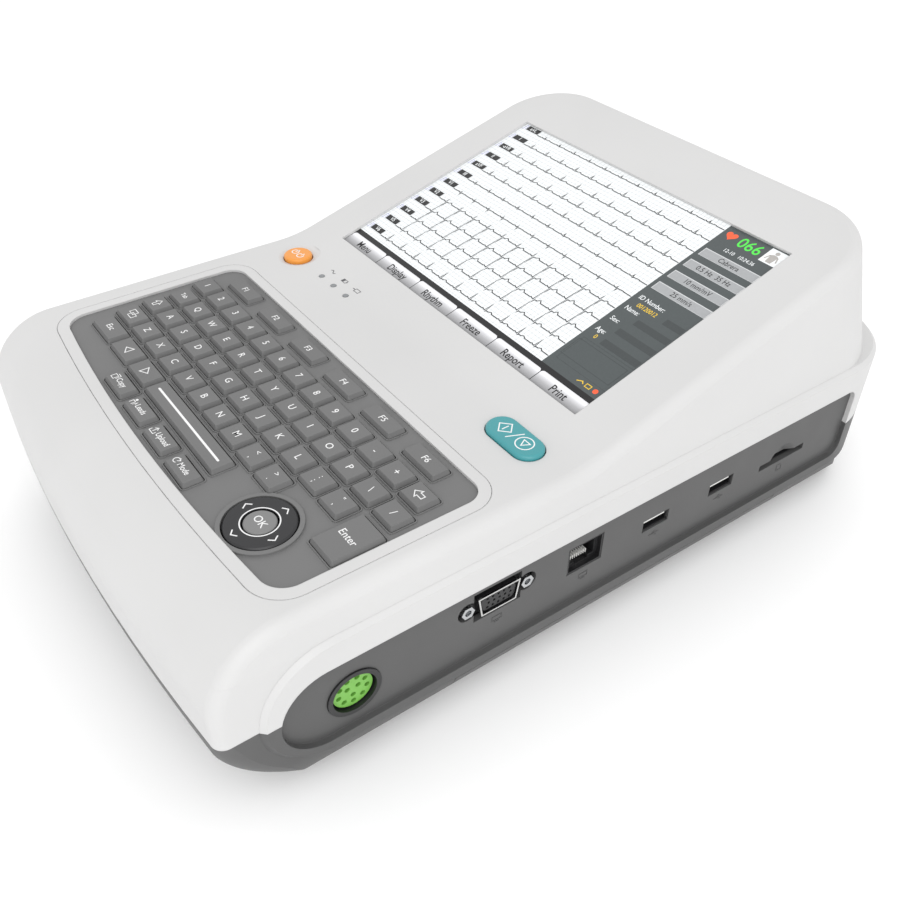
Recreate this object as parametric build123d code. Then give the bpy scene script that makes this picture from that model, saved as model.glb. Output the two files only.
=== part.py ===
"""Twelve-channel ECG machine: a desktop recorder with keyboard, tilted screen, side sockets and a side printer.

Millimetres, +X to the user's right, +Y towards the back, +Z up. The origin is under the middle of the object,
on the surface that its feet stand on.
"""
import math
import os

from build123d import *

# ---- driving dimensions: body ----
HALF_W = 105.3          # over the side belts
HALF_Y = 162.5          # half of the depth
CORE_HALF = 103.5       # side walls between belt and deck
WALL = 2.5
BASE_Z = 3.0            # underside of the bottom case
DECK_Z = 84.0
TILT = 16.4             # slope of the screen, degrees
SLOPE_Y = -16.6         # where the slope leaves the deck
CREASE_R = 60.0         # concave round between deck and slope
FRONT_ROLL = 27.0       # round from deck to front face
FRONT_BOW = 43.0        # round from front face to underside
BULGE_R = 920.0         # plan radius of the bowed front
BACK_TOP_Y = 132.0      # rear top edge of the screen housing
LEDGE_Z = 70.5          # top of the belt, and the ledge round the screen housing
LEDGE_BACK_Y = 152.0
SPLIT_FRONT_Z = 45.0    # white over grey, at the front
SPLIT_BACK_Z = 40.0     # white over grey, at the back
EDGE_R = 4.5            # round on the edges of the deck, the front and the screen housing
BASE_CORNERS = {4: 23.0, 9: 21.0, 16: 19.0, 24: 15.5, 34: 12.0, 46: 7.0}   # plan radius of the case by height
REAR_R = 36.0           # plan radius of the belt's rear corners

# ---- driving dimensions: side arches ----
ARCH_Z0, ARCH_Z1 = 18.5, LEDGE_Z
ARCH_R = (ARCH_Z1 - ARCH_Z0) / 2
ARCH_Y = -117.5         # centre of the arch's round front end
PANEL_Z0, PANEL_Z1 = 24.3, 58.5
PANEL_R = (PANEL_Z1 - PANEL_Z0) / 2
PANEL_Y0, PANEL_Y1 = -137.3, 131.0
PANEL_X = 103.0         # face of the recessed panel
PANEL_T = 2.5

# ---- driving dimensions: screen ----
WINDOW_W, WINDOW_H = 158.4, 108.6
WINDOW_V = 67.0         # window centre, along the slope from SLOPE_Y
GLASS_DEEP = 1.2
GLASS_T = 1.8
LCD_T = 6.0

# ---- driving dimensions: keyboard ----
MAT_X = 2.0             # middle of the keypad
MAT_HALF = 89.5
MAT_BACK, MAT_FRONT, MAT_BOW = -52.0, -127.5, 5.0
FRAME_W = 4.4
KEY_TOP = 84.9
KEY_BOTTOM = 79.9
MAT_Z = 83.0
KEY_TRAVEL = 1.2
KEY_GAP = 0.3
PAD_GROW, PAD_H = 0.75, 0.4   # raised rim of the mat round each key
PITCH = 13.25
KEY_W, KEY_D = 11.4, 9.3
ROW_Y = {"number": -70.3, "upper": -81.7, "home": -93.0, "lower": -104.3}
BOARD_TOP = 78.4

# ---- driving dimensions: controls ----
NAV_X, NAV_Y = 61.9, -117.3
NAV_R, NAV_HOLE_R = 11.8, 5.95
NAV_TOP = 84.2
COLLAR_R = 13.9          # raised ring of the mat round the navigation ring
OK_R = 5.4
POWER_X, POWER_Y, POWER_R, POWER_DISH_R = -81.5, -25.9, 6.2, 8.5
START_X, START_Y, START_L, START_W = 74.7, -27.2, 25.6, 12.2
LED_XY = ((-60.0, -26.1), (-50.2, -26.1), (-40.2, -26.1))

# ---- driving dimensions: sockets on the right panel ----
ECG_Y, ECG_Z, ECG_R = -110.9, 39.1, 9.8
VGA_Y, VGA_Z, VGA_SPACING = -54.4, 47.4, 25.0
RJ_Y, RJ_Z, RJ_W, RJ_H = -14.95, 44.7, 16.2, 12.8
USB_YS, USB_Z, USB_W, USB_H = (20.35, 55.7), 41.7, 13.1, 5.5
SD_Y, SD_Z, SD_W, SD_H = 92.6, 38.2, 27.0, 2.9
BOARD_Z0, BOARD_Z1 = 33.0, 34.6

# ---- driving dimensions: back and underside ----
INLET_X, INLET_Z = 40.0, 27.5
STUD_X, STUD_Z, STUD_R = 63.0, 27.5, 3.0
STUD_WELL_R = 8.0        # round hole that leaves the pin free for its plug
FEET = [(sx * 82.0, y) for sx in (-1, 1) for y in (-104.0, 140.0)]
DOOR_BOX = (8.0, 120.0, -70.9, 95.7, -5.0, 15.4)
SPEAKER_X = -56.0

# ---- driving dimensions: printer on the left side ----
PRINT_Y0, PRINT_Y1 = -98.0, 112.0   # width of the paper
DOOR_Y0, DOOR_Y1 = -119.0, 123.5    # opening for the side door
DOOR_GAP = 0.5
DOOR_LOW_Z = 25.1
HINGE_X, HINGE_Z = -101.75, 26.6
LUG_YS, LUG_W = (-112.0, 108.0), 3.0
PIN_R = 0.7
PIN_OUT = 2.8           # how far a hinge pin stands out of its lug
PLATEN_X, PLATEN_Z, PLATEN_R = -91.8, 48.5, 6.0
HEAD_GAP, HEAD_T = 0.4, 3.5
SPRING_L = 5.0
LATCH_Y, LATCH_Z = 15.0, 49.5
MODULE = 0.8
TEETH = {"roller": 16, "idler": 26, "pinion": 12}
IDLER_ANGLE, PINION_ANGLE = -24.4, 30.0
GEAR_Y = 116.0
SHAFT_R = 1.5           # motor shaft

made = {}


def keep(name, shape):
    """Remember a finished node under its name."""
    made[name] = shape


def block(x0, x1, y0, y1, z0, z1):
    """A box between two corners."""
    return Pos((x0 + x1) / 2, (y0 + y1) / 2, (z0 + z1) / 2) * Box(abs(x1 - x0), abs(y1 - y0), abs(z1 - z0))


def rod(p, axis, r, length):
    """A cylinder from point p along +X, +Y or +Z."""
    turn = {"x": Rot(0, 90, 0), "y": Rot(-90, 0, 0), "z": Rot(0, 0, 0)}[axis]
    return Pos(*p) * turn * Pos(0, 0, length / 2) * Cylinder(r, length)


def tube(p, axis, r_out, r_in, length):
    return rod(p, axis, r_out, length) - rod(p, axis, r_in, length)


def prism_z(face, z0, z1):
    return extrude(Pos(0, 0, z0) * face, z1 - z0)


def face_yz(face):
    """Lay a sketch drawn in (y, z) on the plane x = 0."""
    return Plane.YZ * face


def solid_of(shape):
    """The solids of a boolean result as one shape."""
    solids = shape.solids()
    return solids[0] if len(solids) == 1 else Compound(children=list(solids))


# ---------------------------------------------------------------- outer form

def screen_plane(depth=0.0, v=0.0):
    """Plane on the slope: x across, y up the slope, z out of the screen."""
    t = math.radians(TILT)
    origin = Vector(0, SLOPE_Y, DECK_Z) + Vector(0, math.cos(t), math.sin(t)) * v
    origin = origin - Vector(0, -math.sin(t), math.cos(t)) * depth
    return Plane(origin=origin, x_dir=(1, 0, 0), z_dir=(0, -math.sin(t), math.cos(t)))


def body_profile(inset):
    """Side view of the whole body in (y, z), through the middle, shrunk by inset."""
    front = -HALF_Y + inset
    low, top = BASE_Z + inset, DECK_Z - inset
    bow, roll = FRONT_BOW - inset, FRONT_ROLL - inset
    back = HALF_Y - 2.0 - inset
    t = math.radians(TILT)
    slope_y = SLOPE_Y + inset * math.tan(t / 2)
    crease = (CREASE_R + inset) * math.tan(t / 2)
    back_top = BACK_TOP_Y - inset
    rise = (back_top - slope_y) * math.tan(t)
    ledge = LEDGE_Z - inset
    line = [
        Line((front + bow, low), (back - 9, low)),
        RadiusArc((back - 9, low), (back, low + 9), -9),
        Line((back, low + 9), (back, ledge)),
        Line((back, ledge), (LEDGE_BACK_Y - inset, ledge)),
        Line((LEDGE_BACK_Y - inset, ledge), (back_top, top + rise)),
        Line((back_top, top + rise), (slope_y + crease * math.cos(t), top + crease * math.sin(t))),
        RadiusArc((slope_y + crease * math.cos(t), top + crease * math.sin(t)), (slope_y - crease, top),
                  CREASE_R + inset),
        Line((slope_y - crease, top), (front + roll, top)),
        RadiusArc((front + roll, top), (front, top - roll), -roll),
        Line((front, top - roll), (front, low + bow)),
        RadiusArc((front, low + bow), (front + bow, low), -bow),
    ]
    return make_face(Wire(line))


def bowed(face_fn, inset):
    """Side profile swept to the bowed front: a revolve in front, a straight run behind."""
    profile = face_yz(face_fn(inset))
    hub_y = -HALF_Y + BULGE_R
    axis = Axis((0, hub_y, 0), (0, 0, 1))
    turned = revolve(profile, axis, 16).rotate(axis, -8)
    front = turned & block(-CORE_HALF - 5, CORE_HALF + 5, -200, -60, -5, 200)
    rear = extrude(profile, CORE_HALF + 5, both=True) & block(-130, 130, -60, 200, -5, 200)
    return front + rear


def plan_outline(half, back, radius, front=-180.0):
    """Plan view with two round rear corners."""
    mid = (front + back) / 2
    sketch = Pos(0, mid) * Rectangle(2 * half, back - front)
    return fillet(sketch.vertices().group_by(Axis.Y)[-1], radius)


def lower_section(inset):
    """Front view of the lower body in (x, z): upright sides that tuck under towards the base."""
    half = CORE_HALF - inset
    low = BASE_Z + inset
    ledge = LEDGE_Z - inset
    tuck_z, tuck_x = 22.0, 8.5
    pts = [(half, tuck_z), (half, ledge), (-half, ledge), (-half, tuck_z)]
    line = [
        Line(pts[0], pts[1]),
        Line(pts[1], pts[2]),
        Line(pts[2], pts[3]),
        TangentArc(pts[3], (-half + tuck_x, low), tangent=(0, -1)),
        Line((-half + tuck_x, low), (half - tuck_x, low)),
        TangentArc(pts[0], (half - tuck_x, low), tangent=(0, -1)),
    ]
    return make_face(Wire(line))


def core(inset):
    """The body without its belt, shrunk by inset: an upper and a lower part that meet at the ledge."""
    form = bowed(body_profile, inset)
    section = Plane.XZ * lower_section(inset)
    ledge = LEDGE_Z - inset
    lower = extrude(section, 200, both=True)
    lower = lower & prism_z(plan_outline(CORE_HALF - inset, HALF_Y - 2 - inset, REAR_R - 2 - inset), 0, ledge)
    upper = loft([
        Pos(0, 0, ledge) * plan_outline(CORE_HALF - inset, LEDGE_BACK_Y - inset, 32 - inset),
        Pos(0, 0, 140.0) * plan_outline(98.2 - inset, LEDGE_BACK_Y - inset - 24.9, 30 - inset),
    ])
    return solid_of(form & lower), solid_of(form & upper)


def front_corners(lower):
    """The upright edges at the two front corners of a lower part."""
    return [e for e in lower.edges() if abs(e.center().X) > 95 and e.center().Y < -125
            and e.length < 60 and e.center().Z < LEDGE_Z - 4]


def rounded_core(lower, upper):
    """The outer form with its edges rounded."""
    back_edge = [e for e in upper.edges() if e.center().Z > 120 and abs(e.center().X) < 1 and e.center().Y > 100]
    return lower.fillet(EDGE_R, front_corners(lower)) + upper.fillet(EDGE_R, back_edge)


def base_limit(inset):
    """The room inside the grey case's round front corners, wider in radius towards the base."""
    hub = -HALF_Y + BULGE_R
    reach = 0.3 - inset
    sections = []
    for z, corner_r in BASE_CORNERS.items():
        back = FRONT_BOW - math.sqrt(FRONT_BOW ** 2 - (BASE_Z + FRONT_BOW - z) ** 2)
        front = Pos(0, hub) * Circle(BULGE_R - back + reach)
        sketch = front & (Pos(0, -100) * Rectangle(2 * (CORE_HALF + reach), 200))
        sketch = fillet(sketch.vertices().group_by(Axis.Y)[0], corner_r - inset)
        sections.append(Pos(0, 0, z) * sketch)
    floor = block(-86, 86, -121, 0, -5, 4) + block(-130, 130, -98, 0, -5, 4)
    return loft(sections) + floor + block(-130, 130, -30, 200, -5, 50)


def rounded_strip(y0, y1, z0, z1, r_front, r_back):
    """Outline in (y, z) with round front and rear ends."""
    sketch = Pos((y0 + y1) / 2, (z0 + z1) / 2) * Rectangle(y1 - y0, z1 - z0)
    ends = sketch.vertices().group_by(Axis.X)
    sketch = fillet(ends[0], r_front)
    if r_back:
        sketch = fillet(sketch.vertices().group_by(Axis.X)[-1], r_back)
    return sketch


def belt():
    """The raised band: an arch on each side, joined round the back."""
    strip = rounded_strip(ARCH_Y - ARCH_R, 190, ARCH_Z0, ARCH_Z1, ARCH_R - 0.01, 0)
    band = extrude(face_yz(strip), 130, both=True)
    band = band & prism_z(plan_outline(HALF_W, HALF_Y, REAR_R), 0, 100)
    rim = [e for e in band.edges() if abs(e.center().Z - (ARCH_Z0 + ARCH_Z1) / 2) > 1.0
           and (abs(abs(e.center().X) - HALF_W) < 9.2 or e.center().Y > HALF_Y - 1)]
    return chamfer(rim, 1.7)


def panel_prism(x0, x1, margin=0.0):
    """The side panel's outline as a slab between x0 and x1, shrunk by margin."""
    strip = rounded_strip(PANEL_Y0 + margin, PANEL_Y1 - margin, PANEL_Z0 + margin, PANEL_Z1 - margin,
                          PANEL_R - margin - 0.01, 6.0 - margin)
    return Pos(min(x0, x1), 0, 0) * extrude(face_yz(strip), abs(x1 - x0))


def split_block(above):
    """Everything above, or below, the joint between the white cover and the grey case."""
    front = block(-130, 130, -200, 0, SPLIT_FRONT_Z if above else -10, 200 if above else SPLIT_FRONT_Z)
    rear = block(-130, 130, 0, 200, SPLIT_BACK_Z if above else -10, 200 if above else SPLIT_BACK_Z)
    return front + rear


# ---------------------------------------------------------------- keyboard outlines

def keypad_outline(grow):
    """Plan of the keypad: straight back and sides, bowed front."""
    x0, x1 = MAT_X - MAT_HALF - grow, MAT_X + MAT_HALF + grow
    back, front = MAT_BACK + grow, MAT_FRONT - grow
    line = [
        Line((x1, front), (x1, back)),
        Line((x1, back), (x0, back)),
        Line((x0, back), (x0, front)),
        ThreePointArc((x0, front), (MAT_X, front - MAT_BOW), (x1, front)),
    ]
    sketch = make_face(Wire(line))
    corners = sketch.vertices().group_by(Axis.Y)
    sketch = fillet(corners[-1], 7 + grow)
    front_corners = sketch.vertices().group_by(Axis.Y)[0]
    return fillet(front_corners, 9 + grow)


def key_solid(x, y, w, d):
    """A key: a straight shank below the mat's face and a tapered cap above it."""
    shank_top = MAT_Z + 0.3
    shank = Pos(x, y) * RectangleRounded(w, d, 0.9)
    cap = extrude(Pos(0, 0, shank_top) * shank, KEY_TOP - shank_top, taper=24)
    return prism_z(shank, KEY_BOTTOM, shank_top) + cap


def row_xs(first, count):
    return [first + PITCH * i for i in range(count)]


def key_plan():
    """Each moving key group: its keys as (x, y, width, depth)."""
    plan = {
        "keys_function_row": [(-66.6 + 26.7 * i, -58.7, 18.4, 7.6) for i in range(6)],
        "keys_number_row": [(x, ROW_Y["number"], KEY_W, KEY_D) for x in row_xs(-78.9, 13)],
        "keys_upper_row": [(x, ROW_Y["upper"], KEY_W, KEY_D) for x in row_xs(-76.5, 13)],
        "keys_home_row": [(x, ROW_Y["home"], KEY_W, KEY_D) for x in row_xs(-77.5, 12)],
        "keys_lower_row": [(x, ROW_Y["lower"], KEY_W, KEY_D) for x in row_xs(-60.4, 9)]
        + [(-75.0, ROW_Y["lower"], 14.4, KEY_D)],
        "key_enter": [(83.8, -98.9, 13.6, 19.6)],
        "key_escape": [(-70.6, -115.2, 17.6, 9.0)],
        "key_left": [(-51.4, -115.4, 16.0, 9.0)],
        "key_right": [(-34.0, -115.5, 15.4, 9.0)],
        "key_space": [(3.9, -115.6, 57.0, 9.0)],
    }
    for i, name in enumerate(("key_copy", "key_leads", "key_upload", "key_mode")):
        plan[name] = [(-32.0 + 19.2 * i, -125.6 - 0.35 * i, 15.6, 7.6)]
    return plan


# ---------------------------------------------------------------- covers

def wall_cuts_right():
    """Holes in the right panel for the sockets."""
    x0, x1 = 95.0, 110.0
    depth = x1 - x0
    cut = rod((x0, ECG_Y, ECG_Z), "x", ECG_R + 0.05, depth)
    cut += block(x0, x1, VGA_Y - 10.0, VGA_Y + 10.0, VGA_Z - 6.6, VGA_Z + 6.6)
    for side in (-1, 1):
        cut += rod((x0, VGA_Y + side * VGA_SPACING / 2, VGA_Z), "x", 4.0, depth)
    cut += block(x0, x1, RJ_Y - RJ_W / 2 - 0.1, RJ_Y + RJ_W / 2 + 0.1, RJ_Z - RJ_H / 2 - 0.1, RJ_Z + RJ_H / 2 + 0.1)
    for y in USB_YS:
        cut += block(x0, x1, y - USB_W / 2 - 0.1, y + USB_W / 2 + 0.1, USB_Z - USB_H / 2 - 0.1,
                     USB_Z + USB_H / 2 + 0.1)
    cut += block(x0, x1, SD_Y - SD_W / 2, SD_Y + SD_W / 2, SD_Z - SD_H / 2, SD_Z + SD_H / 2)
    return cut


def sd_scallop():
    """Thumb hollow over the card slot."""
    cone = Pos(PANEL_X - 0.5, SD_Y, SD_Z - 1.0) * Rot(0, 90, 0) * Cone(4.0, 9.5, 3.0)
    return cone & block(PANEL_X - 3, PANEL_X + 2, SD_Y - 12, SD_Y + 12, SD_Z, SD_Z + 12)


def inlet_cut():
    return block(INLET_X - 14.1, INLET_X + 14.1, 140, 170, INLET_Z - 11.1, INLET_Z + 11.1)


def make_covers():
    lower, upper = core(0)
    low_hollow, high_hollow = core(WALL)
    band = belt()
    recess = panel_prism(PANEL_X, 110) + panel_prism(-110, -PANEL_X)
    shell = (rounded_core(lower, upper) + band) - (low_hollow + high_hollow) - recess

    cover = shell & split_block(True)
    cover = cover - panel_prism(90, 110) - panel_prism(-110, -90)
    # screen: a window through the slope and a wider pocket behind it for the glass
    window = screen_plane(0, WINDOW_V) * Box(WINDOW_W, WINDOW_H, 12)
    pocket = screen_plane(GLASS_DEEP + 5, WINDOW_V) * Box(WINDOW_W + 8.2, WINDOW_H + 8.2, 10)
    cover = cover - window - pocket
    # keypad opening, control holes
    cover = cover - prism_z(keypad_outline(FRAME_W + 0.15), 74, 90)
    cover = cover - rod((POWER_X, POWER_Y, 74), "z", POWER_R + 0.35, 20)
    cover = cover - Pos(POWER_X, POWER_Y, DECK_Z) * Cone(POWER_R + 0.5, 2 * POWER_DISH_R - POWER_R - 0.5, 1.4)
    cover = cover - prism_z(Pos(START_X, START_Y) * SlotOverall(START_L + 0.7, START_W + 0.7), 74, 95)
    for x, y in LED_XY:
        cover = cover - rod((x, y, 74), "z", 1.3, 20)
    keep("top_cover", solid_of(cover))

    case = ((lower & base_limit(0)) + band) - (low_hollow & base_limit(WALL)) - recess
    case = case & split_block(False)
    case = case + panel_prism(PANEL_X - PANEL_T, PANEL_X) + panel_prism(-PANEL_X, -PANEL_X + PANEL_T)
    case = case - wall_cuts_right() - sd_scallop()
    case = case - block(-110, -95, DOOR_Y0, DOOR_Y1, PANEL_Z0, PANEL_Z1)
    case = case - inlet_cut() - rod((STUD_X, 140, STUD_Z), "y", STUD_WELL_R, 30)
    for x, y in FEET:
        case = case - rod((x, y, 0), "z", 2.5, 12)
    for row in range(5):
        case = case - block(SPEAKER_X - 12, SPEAKER_X + 12, -118 + 5 * row, -116 + 5 * row, 0, 8)
    # battery door: a patch of the underside that wraps onto the right side
    patch = block(*DOOR_BOX)
    gap = block(DOOR_BOX[0] - 0.3, DOOR_BOX[1], DOOR_BOX[2] - 0.3, DOOR_BOX[3] + 0.3, DOOR_BOX[4], DOOR_BOX[5] + 0.3)
    keep("battery_door", solid_of((case & patch) - battery_screw_holes()))
    case = case - gap
    for y in LUG_YS:
        case = case + hinge_lug(y)
    keep("bottom_case", solid_of(case))


def battery_screw_holes():
    holes = rod((14.0, -64.0, 0), "z", 1.6, 20)
    return holes + rod((14.0, 89.0, 0), "z", 1.6, 20)


def hinge_lug(y):
    """A round-topped lug in the lower edge of the side opening, bored for a hinge pin."""
    half = PANEL_T / 2
    lug = block(HINGE_X - half, HINGE_X + half, y, y + LUG_W, 22.0, HINGE_Z)
    lug = lug + rod((HINGE_X, y, HINGE_Z), "y", half, LUG_W)
    return lug - rod((HINGE_X, y - 1, HINGE_Z), "y", PIN_R, LUG_W + 2)


def make_screws():
    """Case screws up through the base and the two battery door screws."""
    group = []
    spots = [(-92.0, -96.0), (92.0, -96.0), (-92.0, 118.0), (92.0, 118.0)]
    for x, y in spots:
        head = rod((x * 0.93, y, BASE_Z + WALL), "z", 3.0, 2.0)
        group.append(head + rod((x * 0.93, y, BASE_Z + WALL + 2.0), "z", 1.5, 6.0))
    for y in (-64.0, 89.0):
        screw = rod((14.0, y, BASE_Z + 0.4), "z", 1.6, 5.5)
        group.append(screw)
    keep("case_screws", Compound(children=group))


def make_feet():
    feet = []
    for x, y in FEET:
        pad = Pos(x, y, BASE_Z / 2) * Cone(7.0, 8.0, BASE_Z)
        feet.append(pad + rod((x, y, BASE_Z), "z", 2.5, WALL + 1.0))
    keep("rubber_feet", Compound(children=feet))


# ---------------------------------------------------------------- keyboard

def make_keyboard():
    outer = prism_z(keypad_outline(FRAME_W), 81.6, DECK_Z)
    keep("keypad_frame", solid_of(outer - prism_z(keypad_outline(0.1), 80, 90)))

    mat = prism_z(keypad_outline(2.0), 79.6, 81.5) + prism_z(keypad_outline(0), 81.5, MAT_Z)
    pads = Sketch()
    holes = Sketch()
    for name, keys in key_plan().items():
        solids = [key_solid(*key) for key in keys]
        keep(name, solids[0] if len(solids) == 1 else Compound(children=solids))
        for x, y, w, d in keys:
            pads = pads + Pos(x, y) * RectangleRounded(w + 2 * PAD_GROW, d + 2 * PAD_GROW, 1.5)
            holes = holes + Pos(x, y) * RectangleRounded(w + 2 * KEY_GAP, d + 2 * KEY_GAP, 1.0)
    mat = mat + prism_z(pads, MAT_Z, MAT_Z + PAD_H) + rod((NAV_X, NAV_Y, MAT_Z), "z", COLLAR_R, 0.9)
    mat = mat - prism_z(holes, 78, 86) - rod((NAV_X, NAV_Y, 78), "z", NAV_R + 0.5, 10)
    keep("keypad_mat", solid_of(mat))

    board = prism_z(keypad_outline(2.0), BOARD_TOP - 1.6, BOARD_TOP)
    board = board - rod((NAV_X, NAV_Y, 70), "z", NAV_R + 1.0, 12)
    button_board = block(-94, 96, -47.0, -16.0, 75.8, 77.4)
    keep("keypad_board", Compound(children=[solid_of(board), button_board]))
    make_nav()


def make_nav():
    """Rocker ring on a gimbal plate, with a push button through both."""
    ring = rod((NAV_X, NAV_Y, 81.2), "z", NAV_R, NAV_TOP - 81.2) - rod((NAV_X, NAV_Y, 80), "z", NAV_HOLE_R, 6)
    rim = ring.edges().filter_by(GeomType.CIRCLE).group_by(Axis.Z)[-1].sort_by(SortBy.RADIUS)[-1]
    ring = chamfer(rim, 0.6)
    for side in (-1, 1):
        ring = ring + block(NAV_X - 1.5, NAV_X + 1.5, NAV_Y + side * 9.2 - 1.2, NAV_Y + side * 9.2 + 1.2, 79.0, 81.2)
    keep("nav_ring", solid_of(ring))
    plate = rod((NAV_X, NAV_Y, 76.6), "z", 11.4, 2.0) - rod((NAV_X, NAV_Y, 75), "z", 6.3, 6)
    keep("nav_gimbal", solid_of(plate))
    button = rod((NAV_X, NAV_Y, 78.0), "z", OK_R, NAV_TOP + 0.1 - 78.0)
    top = button.edges().filter_by(GeomType.CIRCLE).group_by(Axis.Z)[-1]
    keep("ok_button", chamfer(top, 0.4))


def dome_button(x, y, z0, z1, sketch, edge):
    body = prism_z(Pos(x, y) * sketch, z0, z1)
    return fillet(body.edges().group_by(Axis.Z)[-1], edge)


def make_buttons():
    keep("power_button", dome_button(POWER_X, POWER_Y, 78.8, DECK_Z + 1.2, Circle(POWER_R), 1.0))
    keep("start_button", dome_button(START_X, START_Y, 78.8, DECK_Z + 1.6, SlotOverall(START_L, START_W), 1.2))
    pipes = [rod((x, y, 79.0), "z", 1.25, DECK_Z - 79.0 + 0.2) for x, y in LED_XY]
    keep("status_leds", Compound(children=pipes))


# ---------------------------------------------------------------- screen

def make_screen():
    glass = screen_plane(GLASS_DEEP + GLASS_T / 2, WINDOW_V) * Box(WINDOW_W + 8, WINDOW_H + 8, GLASS_T)
    keep("touch_glass", glass)
    lcd_top = GLASS_DEEP + GLASS_T
    lcd = screen_plane(lcd_top + LCD_T / 2, WINDOW_V) * Box(WINDOW_W + 6, WINDOW_H + 6, LCD_T)
    keep("lcd_module", lcd)
    frame = screen_plane(lcd_top + LCD_T + 0.6, WINDOW_V) * Box(WINDOW_W + 22, WINDOW_H + 14, 1.2)
    frame = frame - screen_plane(lcd_top + LCD_T + 0.6, WINDOW_V) * Box(120, 74, 4)
    keep("lcd_bracket", solid_of(frame))


# ---------------------------------------------------------------- sockets and boards

def make_sockets():
    # ECG lead socket
    shell = tube((84.0, ECG_Y, ECG_Z), "x", ECG_R, 8.0, PANEL_X + 0.6 - 84.0)
    shell = shell + tube((PANEL_X - PANEL_T - 1.6, ECG_Y, ECG_Z), "x", 12.0, ECG_R, 1.6)
    keep("ecg_socket_shell", solid_of(shell))
    face_x = PANEL_X - 1.0
    insert = rod((86.0, ECG_Y, ECG_Z), "x", 7.3, face_x - 86.0)
    insert = insert + block(86.0, face_x - 0.6, ECG_Y - 2.0, ECG_Y + 2.0, ECG_Z + 6.0, ECG_Z + 7.7)
    contacts = []
    for r, n in ((5.3, 9), (2.3, 3)):
        for i in range(n):
            a = math.radians(90 + 360 * (i + 0.5) / n)
            y, z = ECG_Y + r * math.cos(a), ECG_Z + r * math.sin(a)
            insert = insert - rod((87.0, y, z), "x", 0.95, 16)
            contacts.append(rod((88.0, y, z), "x", 0.9, 9.0) - rod((90.0, y, z), "x", 0.5, 8))
    insert = insert + tube((86.0, ECG_Y, ECG_Z), "x", 8.0, 7.3, 3.0)
    keep("ecg_socket_insert", solid_of(insert))
    keep("ecg_socket_contacts", Compound(children=contacts))

    # VGA socket: flange, D-shaped shell, hex standoffs
    flange_x = PANEL_X - PANEL_T - 0.1
    body = block(86.0, flange_x - 0.8, VGA_Y - 15.4, VGA_Y + 15.4, BOARD_Z1, VGA_Z + 6.2)
    plate = block(flange_x - 0.8, flange_x, VGA_Y - 15.4, VGA_Y + 15.4, VGA_Z - 6.2, VGA_Z + 6.2)
    d_out = d_shape(8.9, 4.5)
    d_in = d_shape(8.3, 3.9)
    shell = extrude(Pos(flange_x, 0, 0) * d_out, 3.5) - extrude(Pos(flange_x + 1.0, 0, 0) * d_in, 6.0)
    core_d = extrude(Pos(flange_x, 0, 0) * d_shape(7.5, 3.1), 2.9)
    for row, count in ((-2.0, 5), (0.0, 5), (2.0, 5)):
        for i in range(count):
            y = VGA_Y + (i - (count - 1) / 2) * 2.3 + (0.55 if row == 0.0 else 0.0)
            core_d = core_d - rod((flange_x + 2.0, y, VGA_Z + row), "x", 0.5, 5)
    keep("vga_port", solid_of(body + plate + shell + core_d))
    posts = []
    for side in (-1, 1):
        y = VGA_Y + side * VGA_SPACING / 2
        hexagon = extrude(Plane.YZ * (Pos(y, VGA_Z) * RegularPolygon(2.7, 6)), 3.0)
        post = Pos(flange_x, 0, 0) * hexagon - rod((flange_x + 1.0, y, VGA_Z), "x", 1.3, 5)
        posts.append(solid_of(post))
    keep("vga_standoffs", Compound(children=posts))

    # network jack
    jack = block(82.0, PANEL_X - 0.2, RJ_Y - RJ_W / 2, RJ_Y + RJ_W / 2, RJ_Z - RJ_H / 2, RJ_Z + RJ_H / 2)
    jack = jack + block(82.0, PANEL_X - PANEL_T - 0.3, RJ_Y - RJ_W / 2, RJ_Y + RJ_W / 2, BOARD_Z1, RJ_Z)
    jack = jack - block(92.0, PANEL_X + 1, RJ_Y - 6.0, RJ_Y + 6.0, RJ_Z - 4.0, RJ_Z + 4.6)
    jack = jack - block(94.0, PANEL_X + 1, RJ_Y - 3.2, RJ_Y + 3.2, RJ_Z - 5.6, RJ_Z - 4.0)
    jack = jack - block(PANEL_X - 2.2, PANEL_X + 1, RJ_Y - 7.4, RJ_Y + 7.4, RJ_Z - 5.7, RJ_Z + 5.7)
    keep("network_jack", solid_of(jack))

    # USB sockets
    usbs = []
    for y in USB_YS:
        shell = block(88.0, PANEL_X - 0.8, y - USB_W / 2, y + USB_W / 2, USB_Z - USB_H / 2, USB_Z + USB_H / 2)
        shell = shell - block(90.0, PANEL_X + 1, y - 5.9, y + 5.9, USB_Z - 2.1, USB_Z + 2.1)
        shell = shell + block(90.0, PANEL_X - 1.4, y - 5.4, y + 5.4, USB_Z + 0.1, USB_Z + 1.9)
        shell = shell + block(88.0, 98.0, y - 5.5, y + 5.5, BOARD_Z1, USB_Z - USB_H / 2)
        usbs.append(solid_of(shell))
    keep("usb_ports", Compound(children=usbs))

    # card slot
    slot = block(76.0, PANEL_X - PANEL_T - 0.1, SD_Y - 15.0, SD_Y + 15.0, BOARD_Z1, SD_Z + 2.4)
    slot = slot - block(79.0, 110, SD_Y - 12.3, SD_Y + 12.3, SD_Z - 1.2, SD_Z + 1.2)
    keep("card_slot", solid_of(slot))


def d_shape(half_w, half_h):
    """The D outline of a video socket, wider at the top, laid on the plane x = 0."""
    lean = half_h * 2 * math.tan(math.radians(10))
    y, z = VGA_Y, VGA_Z
    pts = [(y - half_w, z + half_h), (y + half_w, z + half_h), (y + half_w - lean, z - half_h),
           (y - half_w + lean, z - half_h)]
    return Plane.YZ * fillet(make_face(Polyline(*pts, close=True)).vertices(), min(1.6, half_h * 0.5))


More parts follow.
